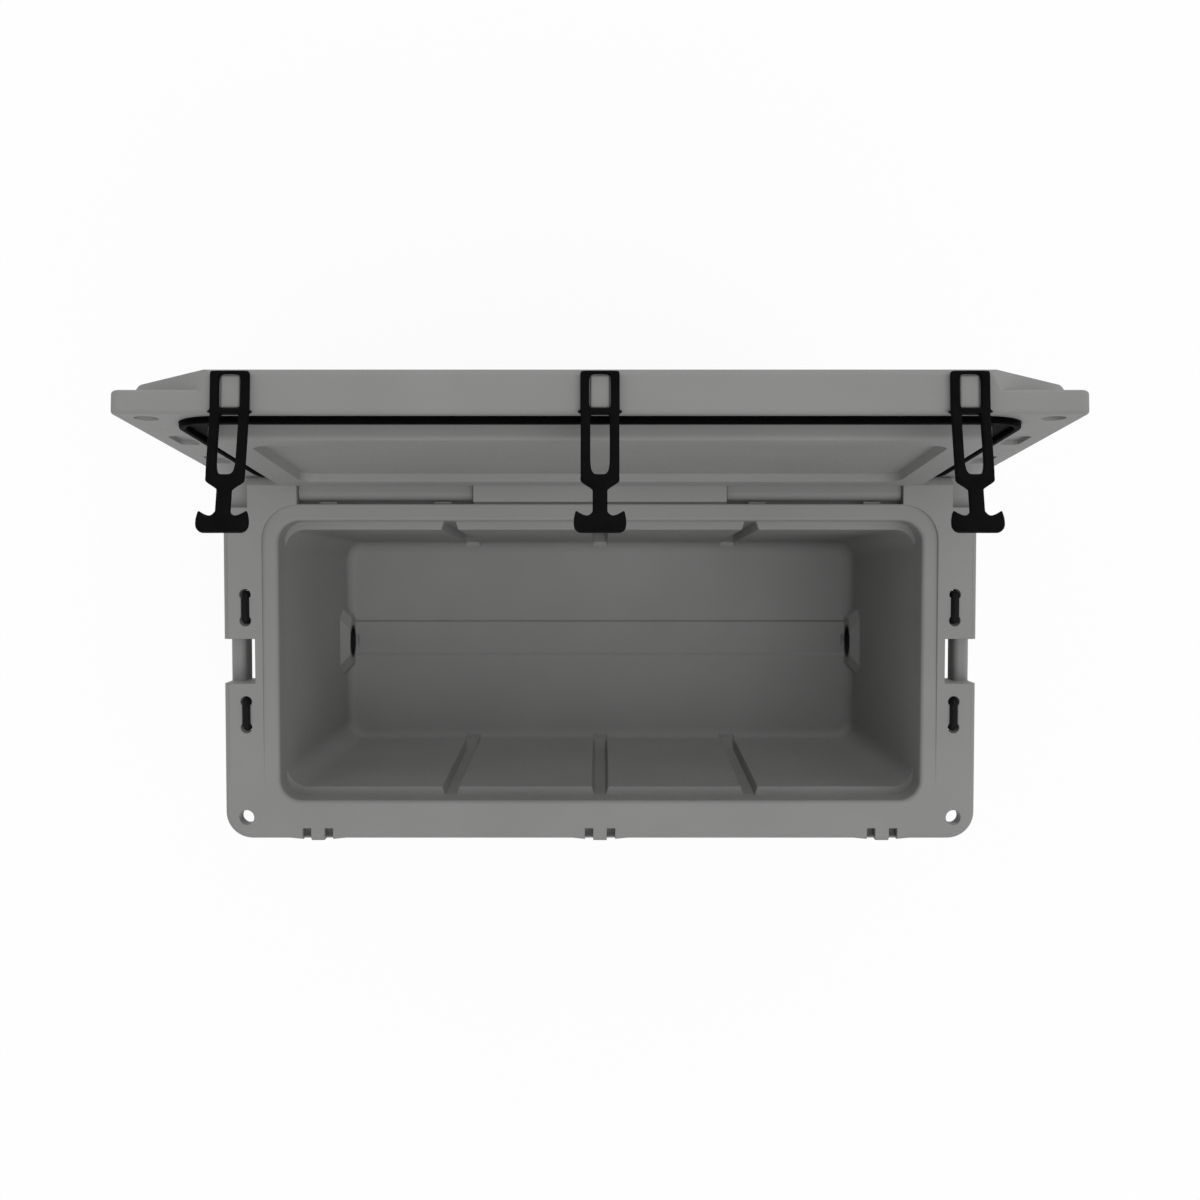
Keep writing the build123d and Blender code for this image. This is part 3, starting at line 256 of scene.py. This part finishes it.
def braided_rope():
    """Braided black polyester with fine fibres, and painted shade: darker between the strands, lighter on
    their tops.
    """
    material, tree, shader = node_material("rope_braid", roughness=0.6, specular=0.1)
    # Painted shade and highlight: the strand value darkens the colour in the creases and lightens it on the
    # strand tops
    strand = tree.nodes.new("ShaderNodeAttribute")
    strand.attribute_name = "strand"
    strand_crease_shade = strand.outputs["Fac"]
    shader.inputs["Sheen Weight"].default_value = 0.02
    wire(
        tree,
        shader,
        colour=tint(tree, strand_crease_shade, dark=(0.0012, 0.0012, 0.0013), light=(0.006, 0.006, 0.0064)),
        normal=bumped(tree, noise(tree, scale=2500.0), strength=0.3, distance=0.2 * MM),
    )
    return material


def steel():
    """Stainless steel with a fine grain."""
    material, tree, shader = node_material("pin_steel", roughness=0.3)
    shader.inputs["Metallic"].default_value = 1.0
    grain = spread(tree, noise(tree, scale=500.0, detail=3.0))
    wire(
        tree,
        shader,
        colour=tint(tree, grain, dark=(0.5, 0.5, 0.5), light=(0.62, 0.62, 0.61)),
        roughness=spread(tree, noise(tree, scale=900.0), low=0.24, high=0.4),
    )
    return material


def foam():
    """Cream polyurethane foam with small cells."""
    material, tree, shader = node_material("wall_foam", roughness=0.9, specular=0.2)
    cells = spread(tree, noise(tree, scale=700.0, detail=3.0))
    wire(
        tree,
        shader,
        colour=tint(tree, cells, dark=(0.62, 0.54, 0.36), light=(0.78, 0.7, 0.5)),
        normal=bumped(tree, cells, strength=0.4, distance=0.6 * MM),
    )
    return material


finish_of = {
    "moulded_plastic": moulded_plastic(),
    "rubber": black_rubber("latch_rubber", 0.03, dark=(0.0022, 0.0022, 0.0023), light=(0.004, 0.004, 0.0042)),
    "black_plastic": black_plastic(),
    "rope": braided_rope(),
    "steel": steel(),
    "foam": foam(),
}
slot_of = {row["node"]: row["material_slot"] for row in frame["record"]["subparts"]}
for node_name, node in frame["nodes"].items():
    node.data.materials.clear()
    node.data.materials.append(finish_of[slot_of[node_name]])
# Painted shade: the seal is the latches' black rubber made darker, to stand for the shade in its channel
# under the lid
shaded_seal_rubber = black_rubber("shaded_seal_rubber", 0.015, dark=(0.0006,) * 3, light=(0.0012,) * 3)
frame["nodes"]["lid_gasket"].data.materials[0] = shaded_seal_rubber


def dressed(name, mesh, slot_name, body, *nodes):
    """A new piece in its finish, riding on a body in place of CAD nodes."""
    mesh.materials.clear()
    mesh.materials.append(finish_of[slot_name])
    piece = new_object(name, mesh)
    if nodes:
        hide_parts(*nodes)
    if body:
        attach(piece, body)
    return piece


# Ropes

ROUTE_STEPS = 24


def spline_points(points):
    """Points read along the smooth line that has the route's points as its control points."""
    curve = bpy.data.curves.new("route", "CURVE")
    curve.dimensions = "3D"
    curve.resolution_u = ROUTE_STEPS
    spline = curve.splines.new("NURBS")
    spline.points.add(len(points) - 1)
    spline.points.foreach_set("co", np.hstack([points, np.ones((len(points), 1))]).ravel())
    spline.order_u = 3
    spline.use_endpoint_u = True
    carrier = bpy.data.objects.new("route", curve)
    line = bpy.data.meshes.new_from_object(carrier)
    read = np.empty(len(line.vertices) * 3)
    line.vertices.foreach_get("co", read)
    bpy.data.objects.remove(carrier)
    bpy.data.curves.remove(curve)
    bpy.data.meshes.remove(line)
    return read.reshape(-1, 3)


STRANDS = 6
BRAID_PITCH = 11.0 * MM
BRAID_DEPTH = 0.14
ROPE_AROUND = 60
ROPE_ROW = 0.55 * MM
ROPE_END_ROWS = 6


def rope_mesh(name, path):
    """A braided rope along a path in a plane of one X.

    At a length s and an angle a, the strands of two opposite winds meet where a*n +/- s/pitch are whole
    numbers; the radius is the rope's own, less a share of one minus the root of the sines of both winds.
    Both ends are rounded off as half a ball.
    """
    runs = np.linalg.norm(np.diff(path, axis=0), axis=1)
    length = np.concatenate([[0.0], np.cumsum(runs)])
    rows = int(length[-1] / ROPE_ROW)
    s = np.linspace(0.0, length[-1], rows)
    centre = np.stack([np.interp(s, length, path[:, k]) for k in range(3)], axis=1)
    along = np.gradient(centre, s, axis=0)
    along /= np.linalg.norm(along, axis=1)[:, None]
    sideways = np.array([1.0, 0.0, 0.0])
    across = np.cross(sideways, along)
    ball = np.linspace(0.0, pi / 2, ROPE_END_ROWS + 1)[:-1]
    reach = ROPE_RADIUS * np.cos(ball)
    s = np.concatenate([s[0] - reach, s, s[-1] + reach[::-1]])
    shrink = np.concatenate([np.sin(ball), np.ones(rows), np.sin(ball[::-1])])
    start = centre[0] - reach[:, None] * along[0]
    end = centre[-1] + reach[::-1, None] * along[-1]
    centre = np.vstack([start, centre, end])
    across = np.vstack([np.repeat(across[:1], len(ball), 0), across, np.repeat(across[-1:], len(ball), 0)])
    a = np.linspace(0.0, 2 * pi, ROPE_AROUND, endpoint=False)
    wind = STRANDS * a[None, :] / (2 * pi)
    first = np.abs(np.sin(pi * (wind + s[:, None] / BRAID_PITCH)))
    second = np.abs(np.sin(pi * (wind - s[:, None] / BRAID_PITCH)))
    strand = np.sqrt(first * second)
    radius = ROPE_RADIUS * shrink[:, None] * (1.0 - BRAID_DEPTH + BRAID_DEPTH * strand)
    points = (
        centre[:, None, :]
        + (radius * np.cos(a))[:, :, None] * across[:, None, :]
        + (radius * np.sin(a))[:, :, None] * sideways
    )
    mesh = grid_mesh(name, points, False, True)
    # The strand value is also stored on the points, so the rope's colour can paint shade between the strands
    crease_shade_values = mesh.attributes.new("strand", "FLOAT", "POINT")
    crease_shade_values.data.foreach_set("value", strand.ravel().astype(np.float32))
    return finished(mesh)


GRIP_RADIUS = 14.0 * MM
GRIP_BORE = 5.3 * MM
GRIP_RIB = 0.9 * MM
GRIP_RIBS = 7
GRIP_ROWS = 120
GRIP_AROUND = 48
GRIP_END_POWER = 14
RIBS_END = 0.86
RIBS_FADE = 0.06


def grip_mesh(name, x):
    """A hand tube turned about the rope: its profile is a rounded bar with a wave of ribs, and a bore."""
    t = np.linspace(-1.0, 1.0, GRIP_ROWS)
    ends = (1.0 - np.abs(t) ** GRIP_END_POWER) ** 0.5
    wave = 0.5 - 0.5 * np.cos(pi * GRIP_RIBS * (t + 1.0))
    middle = np.clip((RIBS_END - np.abs(t)) / RIBS_FADE, 0.0, 1.0)
    outer = GRIP_BORE + (GRIP_RADIUS - GRIP_BORE) * ends - GRIP_RIB * wave * middle
    along = np.concatenate([GRIP_HALF * t, GRIP_HALF * t[::-1][1:-1]])
    radius = np.concatenate([outer, np.full(len(t) - 2, GRIP_BORE)])
    a = np.linspace(0.0, 2 * pi, GRIP_AROUND, endpoint=False)
    points = np.stack(
        [
            x + radius[:, None] * np.cos(a),
            np.repeat(along[:, None], len(a), 1),
            GRIP_Z + radius[:, None] * np.sin(a),
        ],
        axis=-1,
    )
    return finished(grid_mesh(name, points, True, True))


# Hanging rope from a hole to the middle of the grip: distance along Y from the grip's middle, and drop
HANG_HALF = np.array([(85.0, 0.0), (85.0, 46.0), (78.0, 82.0), (58.0, 108.0), (25.2, 108.0)]) * MM
# Rope over the flange, up one hole and down the other: distance along Y from the grip's middle, and height
OVER_FLANGE = np.array(
    [
        (ROPE_INNER, ROPE_TAIL),
        (ROPE_INNER, ROPE_IN_HOLE),
        (ROPE_INNER, ROPE_TOP),
        ((ROPE_INNER + ROPE_OUTER) / 2, ROPE_TOP + ROPE_CROWN),
        (ROPE_OUTER, ROPE_TOP),
        (ROPE_OUTER, ROPE_IN_HOLE),
        (ROPE_OUTER, ROPE_PIVOT_Z),
    ]
)


def in_plane(x, y, z):
    """Points in a plane of one X."""
    return np.column_stack([np.full(len(y), x), y, z])


for side_name, side in SIDES.items():
    rope_x = side * ROPE_X
    half = in_plane(rope_x, -HANG_HALF[:, 0], ROPE_PIVOT_Z - HANG_HALF[:, 1])
    route = np.vstack([half, (half * (1, -1, 1))[::-1]])
    path = spline_points(route)
    handle = f"{side_name}_rope_handle"
    tube = grip_mesh("grip", rope_x)
    grip = dressed(f"{side_name}_hand_grip", tube, "black_plastic", handle, f"{side_name}_rope_grip")
    hanging = rope_mesh("bail", path)
    bail = dressed(f"{side_name}_hand_rope", hanging, "rope", handle, f"{side_name}_rope_bail")
    front, back = (
        rope_mesh(
            f"{side_name}_rope_over_flange",
            spline_points(in_plane(rope_x, end * OVER_FLANGE[:, 0], OVER_FLANGE[:, 1])),
        )
        for end in (-1, 1)
    )
    dressed(f"{side_name}_front_flange_rope", front, "rope", "chest", f"{side_name}_rope_saddles")
    dressed(f"{side_name}_back_flange_rope", back, "rope", "chest")

# Latches

SECTION_POINTS = 28
SECTION_POWER = 5.0
RING_POINTS = 240


def polar_edge(angle, half_width, half_height, upper_power, lower_power):
    """A rounded rectangle about its middle: along each direction, out to where the sum of powers is one.

    The upper and lower half have a power each: a high power gives a square corner, and a low one a round one.
    """
    power = np.where(np.sin(angle) > 0.0, upper_power, lower_power)
    reach = np.abs(np.cos(angle) / half_width) ** power + np.abs(np.sin(angle) / half_height) ** power
    return np.stack([np.cos(angle), np.sin(angle)], axis=-1) * (reach ** (-1.0 / power))[:, None]


# A rounded square of half-size one, as (across, through) points
section_angle = np.linspace(0.0, 2 * pi, SECTION_POINTS, endpoint=False)
SECTION = polar_edge(section_angle, 1.0, 1.0, SECTION_POWER, SECTION_POWER)


def ring(outer, inner, thick):
    """A flat rubber ring between two rounded rectangles (middle height, half width, half height, powers).

    Between the inner and outer edge the section is a rounded square of the ring's own width and thickness.
    """
    angle = np.linspace(0.0, 2 * pi, RING_POINTS, endpoint=False)
    edges = [polar_edge(angle, *each[1:]) + (0.0, each[0]) for each in (outer, inner)]
    middle = (edges[0] + edges[1]) / 2
    reach = (edges[0] - edges[1]) / 2
    plan = middle[:, None, :] + reach[:, None, :] * SECTION[None, :, :1]
    through = np.repeat(thick * SECTION[None, :, 1:], len(angle), 0)
    points = np.concatenate([plan[:, :, :1], through, plan[:, :, 1:]], axis=-1)
    return grid_mesh("ring", points, True, True)


def capped(points):
    """A tube of sections, closed by drawing its first and last section in to a point."""
    first = np.repeat(points[:1].mean(1, keepdims=True), points.shape[1], 1)
    last = np.repeat(points[-1:].mean(1, keepdims=True), points.shape[1], 1)
    return grid_mesh("tube", np.concatenate([first, points, last]), False, True)


def bar(x, low, high, thick):
    """A rubber bar along X: at each x a rounded square section between a low and a high edge."""
    middle, half = (high + low) / 2, (high - low) / 2
    return capped(
        np.stack(
            [
                np.repeat(x[:, None], len(SECTION), 1),
                thick[:, None] * SECTION[None, :, 1],
                middle[:, None] + half[:, None] * SECTION[None, :, 0],
            ],
            axis=-1,
        )
    )


def strip(z, half_width, thick):
    """A rubber strip along Z: at each z a rounded square section of that half-width."""
    return capped(
        np.stack(
            [
                half_width[:, None] * SECTION[None, :, 0],
                thick[:, None] * SECTION[None, :, 1],
                np.repeat(z[:, None], len(SECTION), 1),
            ],
            axis=-1,
        )
    )


HALF_THICK = 4.0 * MM
# Rings: middle height, half width, half height, and the powers of the upper and the lower corners
LOOP_OUTER = (478.6 * MM, 19.3 * MM, 21.4 * MM, 20.0, 20.0)
LOOP_WINDOW = (480.1 * MM, 10.6 * MM, 17.1 * MM, 6.0, 9.0)
FRAME_OUTER = (425.1 * MM, 18.9 * MM, 37.5 * MM, 20.0, 12.0)
FRAME_WINDOW = (426.1 * MM, 9.4 * MM, 31.4 * MM, 16.0, 4.5)
# Bridge between the rings, with an ear that tapers at each end
EAR_HALF = 22.2 * MM
EAR_RUN = 5.0 * MM
EAR_LEAST = 0.15
EAR_THINNING = 0.3
BRIDGE_HALF = 2.8 * MM
BRIDGE_STEPS = 48
# Neck: drops are measured down from the lid's lower edge
SHOULDER_HALF = 18.9 * MM
SHOULDER_DROP = 70.4 * MM
SHOULDER_RUN = 9.0 * MM
SHOULDER_STRAIGHT = 0.6
NECK_HALF = 7.2 * MM
NECK_INTO_FRAME = 4.2 * MM
NECK_INTO_HANDLE = 10.0 * MM
NECK_STEPS = 70
# T handle
T_HALF = 25.2 * MM
T_BOTTOM = 122.5 * MM
T_CORNER = 7.4 * MM
T_STEPS = 90
HORN_HALF = 22.9 * MM
HORN_DROP = 100.8 * MM
HORN_POWER = 1.6
SADDLE_HALF = 12.4 * MM
SADDLE_DROP = 105.9 * MM
ROOT_RISE = 4.0 * MM
SIDE_DROP = 9.0 * MM
SIDE_POWER = 1.7
T_FULLNESS = 1.1
T_THINNING = 0.25
T_THINNING_POWER = 6


def share(value):
    """A value kept between zero and one."""
    return np.clip(value, 0.0, 1.0)


def latch_mesh():
    """One rubber latch, shut and straight: two rings that share a bridge, a neck and a T handle, fused.

    The neck's half-width falls partly straight and partly on a smooth step. The T's upper edge is a curve
    that is lowest at the saddle, rises to the horn by a power of the way there, and drops from the horn to
    the side by another.
    """
    loop = ring(LOOP_OUTER, LOOP_WINDOW, HALF_THICK)
    frame_ring = ring(FRAME_OUTER, FRAME_WINDOW, HALF_THICK)

    x = np.linspace(-EAR_HALF, EAR_HALF, BRIDGE_STEPS)
    ear = np.clip((EAR_HALF - np.abs(x)) / EAR_RUN, EAR_LEAST, 1.0)
    bridge = bar(x, ROD_Z - BRIDGE_HALF * ear, ROD_Z + BRIDGE_HALF * ear, HALF_THICK * ear**EAR_THINNING)

    drop = np.linspace(SHOULDER_DROP - NECK_INTO_FRAME, T_BOTTOM - NECK_INTO_HANDLE, NECK_STEPS)
    way = share((drop - SHOULDER_DROP) / SHOULDER_RUN)
    fall = SHOULDER_STRAIGHT * way + (1.0 - SHOULDER_STRAIGHT) * smooth_step(way)
    half = SHOULDER_HALF + (NECK_HALF - SHOULDER_HALF) * fall
    neck = strip(LID_LOW - drop, half, np.full(len(drop), HALF_THICK))

    x = np.linspace(-T_HALF, T_HALF, T_STEPS)
    wide = np.abs(x)
    rise = share((wide - SADDLE_HALF) / (HORN_HALF - SADDLE_HALF)) ** HORN_POWER
    root = share((SADDLE_HALF - wide) / (SADDLE_HALF - NECK_HALF)) ** 2
    side = share((wide - HORN_HALF) / (T_HALF - HORN_HALF)) ** SIDE_POWER
    upper = SADDLE_DROP + (HORN_DROP - SADDLE_DROP) * rise - ROOT_RISE * root + SIDE_DROP * side
    corner = np.clip(wide - T_HALF + T_CORNER, 0.0, T_CORNER)
    lower = T_BOTTOM - T_CORNER + np.sqrt(np.maximum(T_CORNER**2 - corner**2, 0.0))
    thick = HALF_THICK * (T_FULLNESS - T_THINNING * (wide / T_HALF) ** T_THINNING_POWER)
    handle = bar(x, LID_LOW - lower, LID_LOW - upper, thick)
    return fused("latch", [loop, frame_ring, bridge, neck, handle])


FUSE_VOXEL = 0.75 * MM
SOFTEN_FACTOR = 0.5
SOFTEN_TIMES = 5


def fused(name, shells):
    """Overlapping closed shells made one skin on a fine lattice, then smoothed a little."""
    work = bmesh.new()
    for shell in shells:
        work.from_mesh(shell)
        bpy.data.meshes.remove(shell)
    bmesh.ops.remove_doubles(work, verts=work.verts, dist=MERGE_WITHIN)
    bmesh.ops.recalc_face_normals(work, faces=work.faces)
    mesh = bpy.data.meshes.new(name)
    work.to_mesh(mesh)
    work.free()
    carrier = new_object(name, mesh)
    remesh = carrier.modifiers.new("fuse", "REMESH")
    remesh.mode = "VOXEL"
    remesh.voxel_size = FUSE_VOXEL
    soften = carrier.modifiers.new("soften", "SMOOTH")
    soften.factor = SOFTEN_FACTOR
    soften.iterations = SOFTEN_TIMES
    graph = bpy.context.evaluated_depsgraph_get()
    result = bpy.data.meshes.new_from_object(carrier.evaluated_get(graph))
    bpy.data.objects.remove(carrier)
    bpy.data.meshes.remove(mesh)
    result.name = name
    return result


def turned(y, z, about_y, about_z, angle):
    """Points turned about a line along X, each by its own angle."""
    dy, dz = y - about_y, z - about_z
    new_y = about_y + dy * np.cos(angle) - dz * np.sin(angle)
    new_z = about_z + dy * np.sin(angle) + dz * np.cos(angle)
    return new_y, new_z


BEND_HALF = 4.0 * MM
shut_latch = latch_mesh()
shut = np.empty(len(shut_latch.vertices) * 3)
shut_latch.vertices.foreach_get("co", shut)
shut = shut.reshape(-1, 3)
bend = smooth_step(share((ROD_Z + BEND_HALF - shut[:, 2]) / (2 * BEND_HALF)))
bent_y, bent_z = turned(STRAP_Y + shut[:, 1], shut[:, 2], STRAP_Y, ROD_Z, -STRAP_LEAN * bend)
open_y, open_z = turned(bent_y, bent_z, HINGE_Y, HINGE_Z, -LID_OPEN)
back = np.array([0.0, sin(LID_OPEN), cos(LID_OPEN)])
for latch_name, latch_x in LATCHES.items():
    mesh = shut_latch.copy()
    mesh.vertices.foreach_set("co", np.column_stack([shut[:, 0] + latch_x, open_y, open_z]).ravel())
    mesh.update()
    mesh.shade_smooth()
    nodes = (f"{latch_name}_latch_loop", f"{latch_name}_latch_strap")
    latch = dressed(f"{latch_name}_rubber_latch", mesh, "rubber", None, *nodes)
    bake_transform(latch)
bpy.data.meshes.remove(shut_latch)

# Floor, world and lights

WHITE = (1.0, 1.0, 1.0, 1.0)
FLOOR_HALF = 6.0
FLOOR_DROP = 0.5 * MM
FLOOR_COLOUR = (0.95, 0.95, 0.95, 1.0)
FLOOR_SHOWN_WHITE = 0.9
WORLD_LIGHT = 0.67


def shown_apart(tree, lit, shown, part, output_kind):
    """Light meets one shader, and the camera, reflections and glass meet a part of another over it."""
    rays = tree.nodes.new("ShaderNodeLightPath")
    total = rays.outputs["Is Camera Ray"]
    for name in ("Is Glossy Ray", "Is Transmission Ray"):
        either = tree.nodes.new("ShaderNodeMath")
        either.operation = "MAXIMUM"
        tree.links.new(total, either.inputs[0])
        tree.links.new(rays.outputs[name], either.inputs[1])
        total = either.outputs[0]
    scaled = tree.nodes.new("ShaderNodeMath")
    scaled.operation = "MULTIPLY"
    scaled.inputs[1].default_value = part
    mixed = tree.nodes.new("ShaderNodeMixShader")
    output = tree.nodes.new(output_kind)
    tree.links.new(total, scaled.inputs[0])
    tree.links.new(scaled.outputs[0], mixed.inputs[0])
    tree.links.new(lit.outputs[0], mixed.inputs[1])
    tree.links.new(shown.outputs[0], mixed.inputs[2])
    tree.links.new(mixed.outputs[0], output.inputs["Surface"])


floor_mesh = bpy.data.meshes.new("floor")
corners = [(-1, -1), (1, -1), (1, 1), (-1, 1)]
floor_mesh.from_pydata([(FLOOR_HALF * a, FLOOR_HALF * b, -FLOOR_DROP) for a, b in corners], [], [range(4)])
floor = new_object("floor", floor_mesh)
floor_material = bpy.data.materials.new("pale_floor")
floor_material.use_nodes = True
tree = floor_material.node_tree
tree.nodes.clear()
diffuse = tree.nodes.new("ShaderNodeBsdfDiffuse")
diffuse.inputs["Color"].default_value = FLOOR_COLOUR
glow = tree.nodes.new("ShaderNodeEmission")
shown_apart(tree, diffuse, glow, FLOOR_SHOWN_WHITE, "ShaderNodeOutputMaterial")
floor_mesh.materials.append(floor_material)

world = bpy.data.worlds.new("studio")
world.use_nodes = True
scene.world = world
tree = world.node_tree
tree.nodes.clear()
light = tree.nodes.new("ShaderNodeBackground")
light.inputs["Color"].default_value = WHITE
light.inputs["Strength"].default_value = WORLD_LIGHT
shown = tree.nodes.new("ShaderNodeBackground")
shown.inputs["Color"].default_value = WHITE
shown_apart(tree, light, shown, 1.0, "ShaderNodeOutputWorld")

LIGHT_SPREAD = radians(45.0)


def soft_light(name, towards, strength, shadow):
    """A broad, even light from one direction, the same at every height."""
    data = bpy.data.lights.new(name, "SUN")
    data.angle = LIGHT_SPREAD
    data.energy = strength
    data.use_shadow = shadow
    lamp = bpy.data.objects.new(name, data)
    lamp.rotation_euler = Vector(towards).to_track_quat("Z", "Y").to_euler()
    scene.collection.objects.link(lamp)


# The key comes from the front. The fill comes from behind, with no shadow, so the open lid doesn't stop it
soft_light("key", (0.34, -0.34, 1.0), strength=0.8, shadow=True)
soft_light("fill", (0.3, 1.0, 0.4), strength=0.72, shadow=False)
